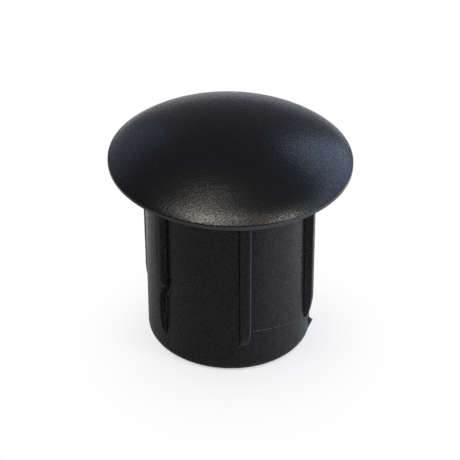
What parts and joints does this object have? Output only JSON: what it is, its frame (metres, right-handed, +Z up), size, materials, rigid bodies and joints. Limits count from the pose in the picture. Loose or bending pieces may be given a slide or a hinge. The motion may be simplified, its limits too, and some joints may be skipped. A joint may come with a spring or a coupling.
{
  "type": "hole plug",
  "caption": "Push-in plug for a drilled hole: a low domed head over a hollow round shank with upright press ribs and a plain lead-in end.",
  "frame": {"origin": "centre of the open end of the shank, on the plane that it stands on", "axes": "+Z up the plug's axis to the crown of the head; the ribs stand at 30 degrees and every 60 degrees from there, counted from +X"},
  "size_m": [0.016, 0.016, 0.0159],
  "materials": {
    "moulded_plastic": "fine spark-eroded grain on the head, smoother on the shank"
  },
  "bodies": {
    "root": {"hole_plug": "moulded_plastic"}
  },
  "joints": []
}
